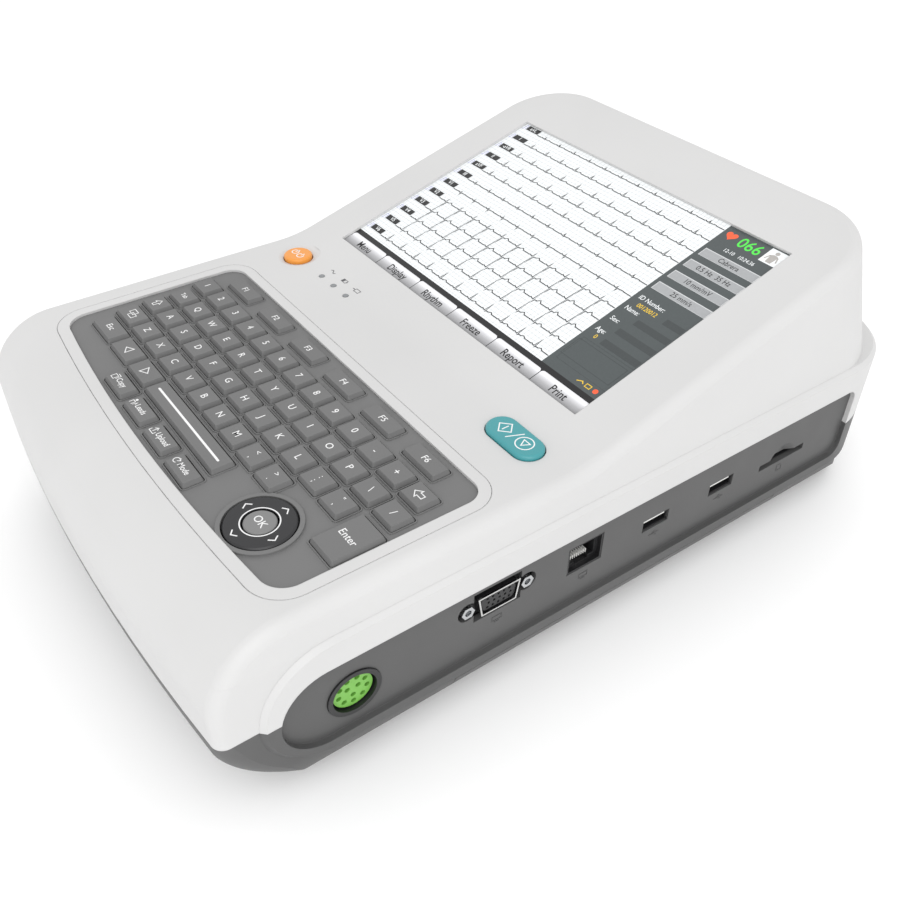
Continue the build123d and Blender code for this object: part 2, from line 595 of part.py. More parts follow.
def make_boards():
    keep("main_board", block(46.0, 99.4, -76.0, 116.0, BOARD_Z0, BOARD_Z1))
    keep("ecg_module", block(22.0, 83.0, -142.0, -102.5, 30.0, 54.0))
    keep("power_supply", block(-72.0, 20.0, 133.0, 155.0, 8.0, 60.0))
    keep("battery_pack", block(14.0, 88.0, -58.0, 82.0, 8.0, 28.0))
    cone = Pos(SPEAKER_X, -106.5, 9.2) * Cone(16.0, 9.0, 6.0)
    keep("speaker", cone + rod((SPEAKER_X, -106.5, 12.2), "z", 9.0, 3.2))
    inlet = block(INLET_X - 14.0, INLET_X + 14.0, 140.0, 160.4, INLET_Z - 11.0, INLET_Z + 11.0)
    hollow = block(INLET_X - 11.5, INLET_X + 11.5, 146.0, 170, INLET_Z - 5.5, INLET_Z + 9.0)
    inlet = inlet - hollow - block(INLET_X - 9.0, INLET_X + 9.0, 150.0, 170, INLET_Z - 10.0, INLET_Z - 6.8)
    for dx, dz in ((-7.0, 0.0), (0.0, 4.0), (7.0, 0.0)):
        inlet = inlet + block(INLET_X + dx - 1.0, INLET_X + dx + 1.0, 145.0, 156.0, INLET_Z + dz - 2.0,
                              INLET_Z + dz + 2.0)
    drawer = block(INLET_X - 8.9, INLET_X + 8.9, 150.1, 160.0, INLET_Z - 9.9, INLET_Z - 6.9)
    keep("mains_inlet", Compound(children=[solid_of(inlet), drawer]))
    stud = rod((STUD_X, 150.0, STUD_Z), "y", STUD_R, 12.4) + rod((STUD_X, 150.0, STUD_Z), "y", 5.5, 6.5)
    stud = stud + rod((STUD_X, 156.4, STUD_Z), "y", STUD_WELL_R + 1.0, 1.5)
    keep("equipotential_stud", solid_of(stud))


# ---------------------------------------------------------------- printer

def gear(teeth, width):
    """Spur gear on the Y axis, teeth as trapezoids with a little backlash."""
    pitch_r = MODULE * teeth / 2
    root, tip = pitch_r - 1.15 * MODULE, pitch_r + 0.9 * MODULE
    step = 2 * math.pi / teeth
    pts = []
    for i in range(teeth):
        a = i * step
        for r, part in ((root, -0.34), (tip, -0.13), (tip, 0.13), (root, 0.34)):
            pts.append((r * math.cos(a + part * step), r * math.sin(a + part * step)))
    face = make_face(Polyline(*pts, close=True))
    return extrude(Plane.XZ * face, -width)


def gear_places():
    """Centres of the gears in (x, z), and the turn that puts each in mesh at rest."""
    r = {k: MODULE * n / 2 for k, n in TEETH.items()}
    a1, a2 = math.radians(IDLER_ANGLE), math.radians(PINION_ANGLE)
    reach1 = r["roller"] + r["idler"] + 0.12
    idler = (PLATEN_X + reach1 * math.cos(a1), PLATEN_Z + reach1 * math.sin(a1))
    reach2 = r["idler"] + r["pinion"] + 0.12
    pinion = (idler[0] + reach2 * math.cos(a2), idler[1] + reach2 * math.sin(a2))
    step = {k: 360.0 / n for k, n in TEETH.items()}
    turn = {"roller": IDLER_ANGLE}
    turn["idler"] = IDLER_ANGLE + 180.0 + step["idler"] / 2
    phase = ((PINION_ANGLE - turn["idler"]) / step["idler"]) % 1.0
    turn["pinion"] = PINION_ANGLE + 180.0 + step["pinion"] * (0.5 + phase)
    return {"roller": (PLATEN_X, PLATEN_Z), "idler": idler, "pinion": pinion}, turn


def make_printer():
    make_gears()
    make_door()
    make_print_unit()
    make_paper()


def make_gears():
    places, turn = gear_places()
    names = {"roller": "roller_gear", "idler": "idler_gear", "pinion": "motor_pinion"}
    bores = {"roller": 2.5, "idler": 2.05}
    for kind, (x, z) in places.items():
        width = 5.0 if kind == "pinion" else 4.0
        # angles run from +X towards +Z, which is a negative turn about +Y
        wheel = Rot(0, -turn[kind], 0) * gear(TEETH[kind], width)
        if kind == "pinion":
            wheel = wheel + rod((0, -8.0, 0), "y", SHAFT_R, 8.5)
        else:
            wheel = wheel - rod((0, -1, 0), "y", bores[kind], width + 2)
        keep(names[kind], solid_of(Pos(x, GEAR_Y, z) * wheel))
    x, z = places["pinion"]
    motor = rod((x, GEAR_Y - 20.2, z), "y", 11.0, 18.0) - rod((x, GEAR_Y - 9.0, z), "y", SHAFT_R + 0.06, 10.0)
    keep("stepper_motor", solid_of(motor))


def make_door():
    """Side door with the paper slot in its top edge, hinge bores, two arms that carry the platen roller."""
    inner_x = -PANEL_X + PANEL_T
    door = block(-PANEL_X, inner_x, DOOR_Y0 + DOOR_GAP, DOOR_Y1 - DOOR_GAP, DOOR_LOW_Z, PANEL_Z1 - DOOR_GAP)
    door = fillet(door.edges().filter_by(Axis.X), 1.5)
    door = door - block(-110, -90, PRINT_Y0 - 2, PRINT_Y1 + 2, PANEL_Z1 - 2.3, PANEL_Z1 + 2)
    for y in LUG_YS:
        notch = block(-110, -90, y - 0.35, y + LUG_W + 0.35, DOOR_LOW_Z - 1, HINGE_Z + 1.8)
        bore = rod((HINGE_X, y - PIN_OUT - 0.3, HINGE_Z), "y", PIN_R + 0.05, LUG_W + 2 * PIN_OUT + 0.6)
        door = door - notch - bore
    for y in (PRINT_Y0 - 4.6, PRINT_Y1 + 0.6):
        arm = block(inner_x - 0.5, PLATEN_X + 4.0, y, y + 2.8, PLATEN_Z - 5.0, PLATEN_Z + 4.2)
        door = door + (arm - rod((PLATEN_X, y - 1, PLATEN_Z), "y", 2.56, 6))
    door = door - block(-110, -95, LATCH_Y - 9.4, LATCH_Y + 9.4, LATCH_Z - 0.4, LATCH_Z + 7.1)
    keep("printer_door", solid_of(door))
    pins = [rod((HINGE_X, y - PIN_OUT, HINGE_Z), "y", PIN_R, LUG_W + 2 * PIN_OUT) for y in LUG_YS]
    keep("door_hinge_pins", Compound(children=pins))

    latch = block(-PANEL_X - 0.2, -PANEL_X + 3.0, LATCH_Y - 9.0, LATCH_Y + 9.0, LATCH_Z, LATCH_Z + 4.8)
    for i in range(5):
        z = LATCH_Z + 0.4 + 0.9 * i
        latch = latch - block(-PANEL_X - 0.4, -PANEL_X + 0.3, LATCH_Y - 7.5, LATCH_Y + 7.5, z, z + 0.45)
    keep("door_latch", solid_of(latch))

    roller = rod((PLATEN_X, PRINT_Y0, PLATEN_Z), "y", PLATEN_R, PRINT_Y1 - PRINT_Y0)
    axle = rod((PLATEN_X, PRINT_Y0 - 6.0, PLATEN_Z), "y", 2.5, 14.0 + PRINT_Y1 - PRINT_Y0)
    keep("platen_roller", solid_of(roller + axle))


def make_print_unit():
    """Thermal head behind the roller, pushed forward by springs from a frame that also holds the gears."""
    head_x = PLATEN_X + PLATEN_R + HEAD_GAP
    beam_x = head_x + HEAD_T + SPRING_L
    keep("print_head", block(head_x, head_x + HEAD_T, PRINT_Y0 + 1, PRINT_Y1 - 1, 42.5, 55.5))
    springs = []
    for y in (PRINT_Y0 + 30, PRINT_Y1 - 30):
        springs.append(spring((head_x + HEAD_T, y, PLATEN_Z), 2.6, 0.35, SPRING_L, 4))
    keep("head_springs", Compound(children=springs))

    places = gear_places()[0]
    plate_y = GEAR_Y - 2.1
    frame = block(beam_x, beam_x + 1.5, PRINT_Y0 - 8, plate_y, 38.0, 60.0)
    frame = frame + block(beam_x, beam_x + 1.5, PRINT_Y0 - 8, PRINT_Y0 - 4, 5.6, 38.0)
    plate = block(-86.8, -52.0, plate_y, plate_y + 1.4, 28.0, 62.0)
    plate = plate + block(beam_x, -60.0, plate_y, plate_y + 1.4, 5.6, 28.0)
    x, z = places["pinion"]
    plate = plate - rod((x, plate_y - 1, z), "y", 3.0, 4)
    x, z = places["idler"]
    frame = frame + plate + rod((x, plate_y, z), "y", 2.0, 2.1 + 4.8)
    keep("printer_frame", solid_of(frame))
    bar_x = -PANEL_X + 2.1
    keep("tear_bar", block(bar_x, bar_x + 1.1, PRINT_Y0 + 1, PRINT_Y1 - 1, PANEL_Z1 + 0.4, PANEL_Z1 + 3.5))


def make_paper():
    tray = block(-90.0, 44.0, PRINT_Y0 - 3, PRINT_Y1 + 1, 16.0, 36.0)
    tray = tray - block(-95.0, 42.4, PRINT_Y0 - 1.4, PRINT_Y1 - 0.6, 17.6, 40.0)
    tray = tray - block(12.0, 46.0, PRINT_Y0 - 5, PRINT_Y1 + 3, 10.0, 29.0)
    keep("paper_tray", solid_of(tray))
    keep("paper_pack", block(-88.0, 11.0, PRINT_Y0, PRINT_Y1 - 2, 17.6, 30.0))


def spring(base, radius, wire, height, turns):
    """A coil spring that runs along +X from base."""
    path = Helix(pitch=height / turns, height=height - 2 * wire, radius=radius)
    start = path @ 0
    profile = Plane(origin=start, z_dir=path % 0) * Circle(wire)
    coil = sweep(profile, path=path, is_frenet=True)
    return Pos(base[0] + wire, base[1], base[2]) * Rot(0, 90, 0) * coil


def main():
    os.makedirs("parts", exist_ok=True)
    make_covers()
    make_screws()
    make_feet()
    make_keyboard()
    make_buttons()
    make_screen()
    make_sockets()
    make_boards()
    make_printer()
    for name, shape in made.items():
        export_step(shape, f"parts/{name}.step")


main()
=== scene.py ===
"""Looks of the ECG machine: materials, legends, screen page, port details, floor, light and camera."""
import math

import bmesh
import bpy
from mathutils import Matrix, Vector


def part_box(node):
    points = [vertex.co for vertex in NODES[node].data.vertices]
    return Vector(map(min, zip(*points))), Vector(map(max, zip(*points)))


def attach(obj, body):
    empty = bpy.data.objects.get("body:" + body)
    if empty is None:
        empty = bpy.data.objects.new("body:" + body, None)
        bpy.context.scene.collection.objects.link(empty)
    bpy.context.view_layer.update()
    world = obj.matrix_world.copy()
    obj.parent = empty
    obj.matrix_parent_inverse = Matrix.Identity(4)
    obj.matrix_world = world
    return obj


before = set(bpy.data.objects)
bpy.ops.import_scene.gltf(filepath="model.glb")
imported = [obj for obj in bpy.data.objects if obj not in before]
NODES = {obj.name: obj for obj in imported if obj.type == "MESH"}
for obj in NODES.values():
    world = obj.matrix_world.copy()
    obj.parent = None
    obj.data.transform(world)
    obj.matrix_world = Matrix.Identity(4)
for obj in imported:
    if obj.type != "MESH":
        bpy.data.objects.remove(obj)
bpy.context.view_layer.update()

MM = 0.001
TILT = math.radians(16.4)


# ---------------------------------------------------------------- materials

def principled(name, color, rough=0.5, metal=0.0, **sockets):
    """A new node material with a Principled shader; returns (material, tree, shader)."""
    made = bpy.data.materials.new(name)
    made.use_nodes = True
    tree = made.node_tree
    tree.nodes.clear()
    out = tree.nodes.new("ShaderNodeOutputMaterial")
    shader = tree.nodes.new("ShaderNodeBsdfPrincipled")
    tree.links.new(shader.outputs[0], out.inputs[0])
    shader.inputs["Base Color"].default_value = (*color, 1)
    shader.inputs["Roughness"].default_value = rough
    shader.inputs["Metallic"].default_value = metal
    for key, value in sockets.items():
        shader.inputs[key.replace("_", " ")].default_value = value
    return made, tree, shader


def noise(tree, scale, detail=3.0, stretch=(1, 1, 1)):
    """Noise over object coordinates; scale is in waves per metre."""
    coords = tree.nodes.new("ShaderNodeTexCoord")
    mapping = tree.nodes.new("ShaderNodeMapping")
    mapping.inputs["Scale"].default_value = stretch
    tree.links.new(coords.outputs["Object"], mapping.inputs[0])
    node = tree.nodes.new("ShaderNodeTexNoise")
    node.inputs["Scale"].default_value = scale
    node.inputs["Detail"].default_value = detail
    tree.links.new(mapping.outputs[0], node.inputs["Vector"])
    return node


def vary_color(tree, shader, color, amount, scale, detail=3.0, stretch=(1, 1, 1)):
    """Cloudy variation of the base colour by plus or minus amount."""
    ramp = tree.nodes.new("ShaderNodeValToRGB")
    ramp.color_ramp.elements[0].position = 0.3
    ramp.color_ramp.elements[1].position = 0.7
    ramp.color_ramp.elements[0].color = (*[c * (1 - amount) for c in color], 1)
    ramp.color_ramp.elements[1].color = (*[min(1.0, c * (1 + amount)) for c in color], 1)
    tree.links.new(noise(tree, scale, detail, stretch).outputs["Fac"], ramp.inputs[0])
    tree.links.new(ramp.outputs[0], shader.inputs["Base Color"])


def vary_roughness(tree, shader, rough, amount, scale):
    span = tree.nodes.new("ShaderNodeMapRange")
    span.inputs["From Min"].default_value = 0.3
    span.inputs["From Max"].default_value = 0.7
    span.inputs["To Min"].default_value = rough - amount
    span.inputs["To Max"].default_value = rough + amount
    tree.links.new(noise(tree, scale).outputs["Fac"], span.inputs[0])
    tree.links.new(span.outputs[0], shader.inputs["Roughness"])


def surface(tree, shader, grain_scale, strength, edge_mm=0.0, depth_mm=0.05, stretch=(1, 1, 1)):
    """Fine grain in the normal, over edges that look rounded by edge_mm."""
    bump = tree.nodes.new("ShaderNodeBump")
    bump.inputs["Strength"].default_value = strength
    bump.inputs["Distance"].default_value = depth_mm * MM
    tree.links.new(noise(tree, grain_scale, 2.0, stretch).outputs["Fac"], bump.inputs["Height"])
    if edge_mm:
        bevel = tree.nodes.new("ShaderNodeBevel")
        bevel.samples = 6
        bevel.inputs["Radius"].default_value = edge_mm * MM
        tree.links.new(bevel.outputs[0], bump.inputs["Normal"])
    tree.links.new(bump.outputs[0], shader.inputs["Normal"])


def moulded(name, color, rough=0.45, grain=1400, bump=0.12, edge=0.35, amount=0.02, **sockets):
    """Moulded plastic or rubber with a fine spark-eroded grain."""
    made, tree, shader = principled(name, color, rough, **sockets)
    vary_color(tree, shader, color, amount, 14)
    vary_roughness(tree, shader, rough, 0.04, 40)
    surface(tree, shader, grain, bump, edge)
    return made


def metal(name, color, rough=0.3, stretch=(1, 1, 1), edge=0.15):
    """Plated or brushed metal."""
    made, tree, shader = principled(name, color, rough, 1.0)
    vary_color(tree, shader, color, 0.06, 220, 4.0, stretch)
    vary_roughness(tree, shader, rough, 0.08, 300)
    surface(tree, shader, 900, 0.08, edge, 0.02, stretch)
    return made


def printed(name, color, rough=0.5, glow=0.0):
    """Ink, or a lit part of the screen when glow is given."""
    made, tree, shader = principled(name, color, rough)
    vary_color(tree, shader, color, 0.03, 900, 2.0)
    if glow:
        shader.inputs["Emission Color"].default_value = (*color, 1)
        shader.inputs["Emission Strength"].default_value = glow
    return made


MAT = {
    "housing": moulded("housing_white", (0.585, 0.583, 0.581), 0.42, 1500, 0.10, 0.5),
    "case": moulded("case_grey", (0.080, 0.080, 0.080), 0.50, 1300, 0.22, 0.4, 0.04),
    "mat": moulded("keypad_mat", (0.158, 0.158, 0.158), 0.62, 1700, 0.15, 0.25, 0.03),
    "key": moulded("key_silicone", (0.150, 0.150, 0.150), 0.58, 1900, 0.16, 0.25, 0.03),
    "nav": moulded("nav_black", (0.018, 0.018, 0.020), 0.33, 1500, 0.08, 0.4),
    "ok": moulded("ok_grey", (0.20, 0.20, 0.20), 0.55, 1700, 0.12, 0.3),
    "orange": moulded("power_orange", (0.78, 0.29, 0.035), 0.35, 1200, 0.05, 0.4, Coat_Weight=0.25),
    "teal": moulded("start_teal", (0.045, 0.290, 0.315), 0.35, 1200, 0.05, 0.4, Coat_Weight=0.25),
    "led": moulded("led_pipe", (0.22, 0.23, 0.24), 0.22, 1200, 0.04, 0.2),
    "glass": moulded("touch_panel", (0.012, 0.012, 0.013), 0.12, 700, 0.01, 0.1, Coat_Weight=0.6),
    "lcd": moulded("lcd_back", (0.5, 0.51, 0.52), 0.4, 1000, 0.05, 0.2),
    "steel": metal("sheet_steel", (0.62, 0.63, 0.64), 0.30, (1, 1, 6)),
    "shell": metal("port_shell", (0.66, 0.66, 0.65), 0.25, (4, 1, 1)),
    "screw": metal("screw_steel", (0.55, 0.56, 0.57), 0.28),
    "brass": metal("contact_gold", (0.80, 0.58, 0.22), 0.25),
    "black": moulded("socket_black", (0.012, 0.012, 0.013), 0.38, 1400, 0.10, 0.25),
    "green": moulded("socket_green", (0.17, 0.44, 0.07), 0.42, 1400, 0.08, 0.2, 0.05),
    "board": moulded("circuit_board", (0.015, 0.13, 0.055), 0.35, 600, 0.20, 0.1, 0.15),
    "foot": moulded("foot_rubber", (0.020, 0.020, 0.021), 0.75, 900, 0.30, 0.4),
    "paper": moulded("chart_paper", (0.86, 0.86, 0.82), 0.75, 2200, 0.20, 0.2, 0.02),
    "gear": moulded("gear_acetal", (0.80, 0.80, 0.75), 0.38, 1500, 0.06, 0.15),
    "roller": moulded("platen_rubber", (0.030, 0.030, 0.032), 0.65, 1200, 0.25, 0.2),
    "head": moulded("print_head_ceramic", (0.36, 0.32, 0.26), 0.25, 800, 0.06, 0.2),
    "battery": moulded("battery_film", (0.03, 0.07, 0.22), 0.30, 500, 0.12, 0.5, 0.05),
    "frame": metal("printer_steel", (0.58, 0.59, 0.60), 0.34, (6, 1, 1)),
}

LOOKS = {
    "housing": ["top_cover", "keypad_frame"],
    "case": ["bottom_case", "battery_door", "printer_door"],
    "screw": ["case_screws", "vga_standoffs", "door_hinge_pins", "head_springs", "tear_bar"],
    "foot": ["rubber_feet"],
    "mat": ["keypad_mat"],
    "board": ["keypad_board", "main_board"],
    "led": ["status_leds"],
    "glass": ["touch_glass"],
    "lcd": ["lcd_module"],
    "steel": ["lcd_bracket", "ecg_module", "power_supply", "stepper_motor"],
    "black": ["usb_ports", "vga_port", "network_jack", "ecg_socket_shell", "card_slot", "speaker", "mains_inlet", "paper_tray", "door_latch", "nav_gimbal"],
    "green": ["ecg_socket_insert"],
    "brass": ["ecg_socket_contacts", "equipotential_stud", "motor_pinion"],
    "frame": ["printer_frame"],
    "paper": ["paper_pack"],
    "roller": ["platen_roller"],
    "gear": ["roller_gear", "idler_gear"],
    "head": ["print_head"],
    "battery": ["battery_pack"],
    "orange": ["power_button"],
    "teal": ["start_button"],
    "nav": ["nav_ring"],
    "ok": ["ok_button"],
    "key": [n for n in NODES if n.startswith("key") and n not in ("keypad_mat", "keypad_board", "keypad_frame")],
}
for look, names in LOOKS.items():
    for node in names:
        for index in range(len(NODES[node].material_slots)):
            NODES[node].material_slots[index].material = MAT[look]


# ---------------------------------------------------------------- flat drawing

class Drawing:
    """Thin closed shapes drawn on a plane and gathered in one mesh. Sizes are in millimetres."""

    def __init__(self, place, low=-0.02, high=0.03):
        self.place, self.low, self.high = place, low, high
        self.bm = bmesh.new()

    def point(self, x, y, h):
        return self.bm.verts.new(self.place @ Vector((x * MM, y * MM, h * MM)))

    def polygon(self, outline, high=None):
        """A prism over one closed outline."""
        top_h = self.high if high is None else high
        low = [self.point(x, y, self.low) for x, y in outline]
        top = [self.point(x, y, top_h) for x, y in outline]
        self.bm.faces.new(top)
        self.bm.faces.new(low[::-1])
        for i in range(len(outline)):
            j = (i + 1) % len(outline)
            self.bm.faces.new((low[i], low[j], top[j], top[i]))

    def rect(self, x0, y0, x1, y1, radius=0.0, high=None):
        self.polygon(rounded_rect(x0, y0, x1, y1, radius), high)

    def disc(self, x, y, r, count=32):
        self.polygon(arc_points(x, y, r, 0, 360 - 360 / count, count))

    def ribbon(self, points, width, closed=False):
        """A line of even width along the points."""
        sides = offset_sides(points, width / 2, closed)
        count = len(points)
        rings = []
        for (lx, ly), (rx, ry) in sides:
            rings.append([self.point(lx, ly, self.low), self.point(rx, ry, self.low),
                          self.point(rx, ry, self.high), self.point(lx, ly, self.high)])
        last = count if closed else count - 1
        for i in range(last):
            a, b = rings[i], rings[(i + 1) % count]
            for k in range(4):
                self.bm.faces.new((a[k], a[(k + 1) % 4], b[(k + 1) % 4], b[k]))
        if not closed:
            self.bm.faces.new(rings[0][::-1])
            self.bm.faces.new(rings[-1])

    def text(self, words, x, y, size, align="CENTER", squeeze=1.0, bold=0.0):
        """Words with their middle at (x, y); size is the font's height in millimetres."""
        curve = bpy.data.curves.new("words", "FONT")
        curve.body, curve.size = words, size * MM
        curve.align_x, curve.align_y = align, "CENTER"
        curve.extrude = (self.high - self.low) / 2 * MM
        curve.offset = bold * MM
        curve.resolution_u = 3
        holder = bpy.data.objects.new("words", curve)
        bpy.context.scene.collection.objects.link(holder)
        bpy.context.view_layer.update()
        mesh = bpy.data.meshes.new_from_object(holder)
        shift = Matrix.Translation((x * MM, y * MM, (self.high + self.low) / 2 * MM))
        mesh.transform(self.place @ shift @ Matrix.Diagonal((squeeze, 1, 1, 1)))
        self.bm.from_mesh(mesh)
        bpy.data.objects.remove(holder)
        bpy.data.curves.remove(curve)
        bpy.data.meshes.remove(mesh)

    def piece(self, name, material, body, slot=None):
        bmesh.ops.remove_doubles(self.bm, verts=self.bm.verts, dist=1e-7)
        bmesh.ops.recalc_face_normals(self.bm, faces=self.bm.faces)
        mesh = bpy.data.meshes.new(name)
        self.bm.to_mesh(mesh)
        self.bm.free()
        made = bpy.data.objects.new(name, mesh)
        made.data.materials.append(material)
        bpy.context.scene.collection.objects.link(made)
        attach(made, body)
        return made


def arc_points(x, y, r, start, end, count):
    step = (end - start) / (count - 1)
    angles = [math.radians(start + step * i) for i in range(count)]
    return [(x + r * math.cos(a), y + r * math.sin(a)) for a in angles]


def rounded_rect(x0, y0, x1, y1, r):
    if r <= 0:
        return [(x0, y0), (x1, y0), (x1, y1), (x0, y1)]
    return (arc_points(x1 - r, y1 - r, r, 0, 90, 6) + arc_points(x0 + r, y1 - r, r, 90, 180, 6)
            + arc_points(x0 + r, y0 + r, r, 180, 270, 6) + arc_points(x1 - r, y0 + r, r, 270, 360, 6))


def offset_sides(points, half, closed):
    """Left and right points of a line, mitred at its corners."""
    count = len(points)
    sides = []
    for i, (x, y) in enumerate(points):
        before = points[i - 1] if closed or i > 0 else None
        after = points[(i + 1) % count] if closed or i < count - 1 else None
        dirs = []
        if before:
            dirs.append(Vector((x - before[0], y - before[1])).normalized())
        if after:
            dirs.append(Vector((after[0] - x, after[1] - y)).normalized())
        along = (dirs[0] + dirs[-1])
        along = along.normalized() if along.length > 1e-6 else dirs[0]
        normal = Vector((-along.y, along.x))
        flat = Vector((-dirs[0].y, dirs[0].x))
        reach = half / max(0.35, normal.dot(flat))
        sides.append(((x + normal.x * reach, y + normal.y * reach), (x - normal.x * reach, y - normal.y * reach)))
    return sides


def flat_at(z_mm):
    """The horizontal plane at a height."""
    return Matrix.Translation((0, 0, z_mm * MM))


def side_at(x_mm):
    """The right side's plane: drawing x runs towards the back, drawing y runs up."""
    axes = Matrix(((0, 0, 1, 0), (1, 0, 0, 0), (0, 1, 0, 0), (0, 0, 0, 1)))
    return Matrix.Translation((x_mm * MM, 0, 0)) @ axes


# ---------------------------------------------------------------- key legends

INK = printed("legend_white", (0.80, 0.80, 0.80), 0.45)


def node_box(name):
    """Corners of a node in millimetres."""
    low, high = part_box(name)
    return low / MM, high / MM


def row_centres(name, count, width):
    low, high = node_box(name)
    pitch = (high.x - low.x - width) / (count - 1)
    return [low.x + width / 2 + pitch * i for i in range(count)], (low.y + high.y) / 2, high.z


def arrow(draw, x, y, turn, scale=1.0):
    """Outlined block arrow; turn 0 points towards -X."""
    shape = [(-2.4, 0), (-0.2, 1.9), (-0.2, 0.85), (2.2, 0.85), (2.2, -0.85), (-0.2, -0.85), (-0.2, -1.9)]
    c, s = math.cos(math.radians(turn)), math.sin(math.radians(turn))
    points = [(x + scale * (px * c - py * s), y + scale * (px * s + py * c)) for px, py in shape]
    draw.ribbon(points, 0.32, True)


def legend_row(node, labels, width, size=3.9, extra=None):
    """One mesh of legends for a row of keys, riding on that row's body."""
    centres, y, top = row_centres(node, len(labels), width)
    draw = Drawing(flat_at(top))
    for x, label in zip(centres, labels):
        if label == "back":
            arrow(draw, x, y, 0)
        elif label == "shift":
            arrow(draw, x, y, -90, 0.9)
        elif len(label) == 3 and label[1] == " ":
            draw.text(label[0], x, y + 1.4, size * 0.8)
            draw.text(label[2], x, y - 1.5, size * 0.8)
        elif len(label) > 1 and label != "\\":
            draw.text(label, x, y, size * 0.74, bold=0.005)
        else:
            draw.text(label, x, y, size, bold=0.01)
    if extra:
        extra(draw, y)
    draw.piece(node + "_legends", INK, "b_" + node, "keys")


def frames_icon(draw, y):
    """Two overlapping frames on the wide key of the lower row."""
    x = node_box("keys_lower_row")[0].x + 7.2
    draw.ribbon([(x - 2.6, y - 0.4), (x + 0.8, y - 0.4), (x + 0.8, y + 2.0), (x - 2.6, y + 2.0)], 0.3, True)
    draw.ribbon([(x - 0.8, y - 2.0), (x + 2.6, y - 2.0), (x + 2.6, y + 0.4), (x - 0.8, y + 0.4)], 0.3, True)


legend_row("keys_number_row", list("1234567890-+") + ["back"], 11.4)
legend_row("keys_upper_row", ["Tab"] + list("QWERTYUIOP") + ["\\", "/"], 11.4)
legend_row("keys_home_row", ["shift"] + list("ASDFGHJKL") + [": ;", "\" ,"], 11.4)
legend_row("keys_function_row", ["F1", "F2", "F3", "F4", "F5", "F6"], 18.4, 4.9)


def lower_row_legends():
    low, high = node_box("keys_lower_row")
    y = (low.y + high.y) / 2
    draw = Drawing(flat_at(high.z))
    for i, label in enumerate(list("ZXCVBNM") + ["< ,", "> ."]):
        x = high.x - 5.7 - 13.25 * (8 - i)
        if len(label) == 1:
            draw.text(label, x, y, 3.9, bold=0.01)
        else:
            draw.text(label[0], x, y + 1.4, 3.1)
            draw.text(label[2], x, y - 1.5, 3.1)
    frames_icon(draw, y)
    draw.piece("keys_lower_row_legends", INK, "b_keys_lower_row", "keys")


lower_row_legends()


def single_key(node, paint):
    """Legend of a key that travels alone."""
    low, high = node_box(node)
    middle = (low + high) / 2
    draw = Drawing(flat_at(high.z))
    paint(draw, middle.x, middle.y)
    draw.piece(node + "_legend", INK, "b_" + node, "keys")


def triangle(side):
    return lambda d, x, y: d.ribbon([(x - 1.9 * side, y), (x + 1.3 * side, y + 1.9), (x + 1.3 * side, y - 1.9)], 0.34, True)


single_key("key_enter", lambda d, x, y: d.text("Enter", x, y, 3.8, bold=0.01))
single_key("key_escape", lambda d, x, y: d.text("Esc", x, y, 3.6, bold=0.01))
single_key("key_left", triangle(1))
single_key("key_right", triangle(-1))
single_key("key_space", lambda d, x, y: d.rect(x - 25.0, y - 0.42, x + 25.0, y + 0.42, 0.4))


def page_icon(d, x, y):
    d.ribbon([(x - 1.2, y - 1.5), (x + 0.9, y - 1.5), (x + 0.9, y + 0.7), (x - 1.2, y + 0.7)], 0.26, True)
    d.ribbon([(x - 0.5, y + 1.4), (x + 1.6, y + 1.4), (x + 1.6, y - 0.8)], 0.26)


def lead_icon(d, x, y):
    d.disc(x - 0.6, y + 1.1, 0.55, 12)
    d.ribbon([(x - 1.4, y - 1.6), (x - 1.4, y + 0.2), (x + 0.2, y + 0.2), (x + 0.2, y - 1.6)], 0.28)
    d.ribbon([(x + 0.8, y - 1.2), (x + 1.2, y + 0.6), (x + 1.6, y - 0.6)], 0.24)


def upload_icon(d, x, y):
    d.ribbon([(x - 1.5, y - 0.3), (x - 1.5, y - 1.5), (x + 1.5, y - 1.5), (x + 1.5, y - 0.3)], 0.28)
    d.ribbon([(x, y - 0.9), (x, y + 1.3)], 0.3)
    d.ribbon([(x - 0.9, y + 0.5), (x, y + 1.5), (x + 0.9, y + 0.5)], 0.28)


def mode_icon(d, x, y):
    d.ribbon(arc_points(x, y, 1.2, 40, 320, 14), 0.3)
    d.ribbon([(x + 0.1, y + 1.5), (x + 1.3, y + 0.9), (x + 0.4, y - 0.1)], 0.26)


for node, icon, word in (("key_copy", page_icon, "Copy"), ("key_leads", lead_icon, "Leads"),
                         ("key_upload", upload_icon, "Upload"), ("key_mode", mode_icon, "Mode")):
    def paint(d, x, y, icon=icon, word=word):
        icon(d, x - 5.2, y)
        d.text(word, x - 3.0, y, 3.2, "LEFT", 0.9, 0.015)
    single_key(node, paint)


# ---------------------------------------------------------------- round controls

def nav_marks():
    low, high = node_box("nav_ring")
    x, y, top = (low.x + high.x) / 2, (low.y + high.y) / 2, high.z
    draw = Drawing(flat_at(top))
    for turn in (0, 90, 180, 270):
        c, s = math.cos(math.radians(turn)), math.sin(math.radians(turn))
        points = [(8.5, 1.7), (9.9, 0), (8.5, -1.7)]
        draw.ribbon([(x + px * c - py * s, y + px * s + py * c) for px, py in points], 0.42)
    draw.ribbon(arc_points(x, y, 6.35, 0, 354, 60), 0.42, True)
    draw.piece("nav_ring_marks", INK, "nav", "nav_black")
    ok = Drawing(flat_at(node_box("ok_button")[1].z))
    ok.text("OK", x, y, 4.0, bold=0.01)
    ok.piece("ok_legend", INK, "ok", "ok_grey")


nav_marks()


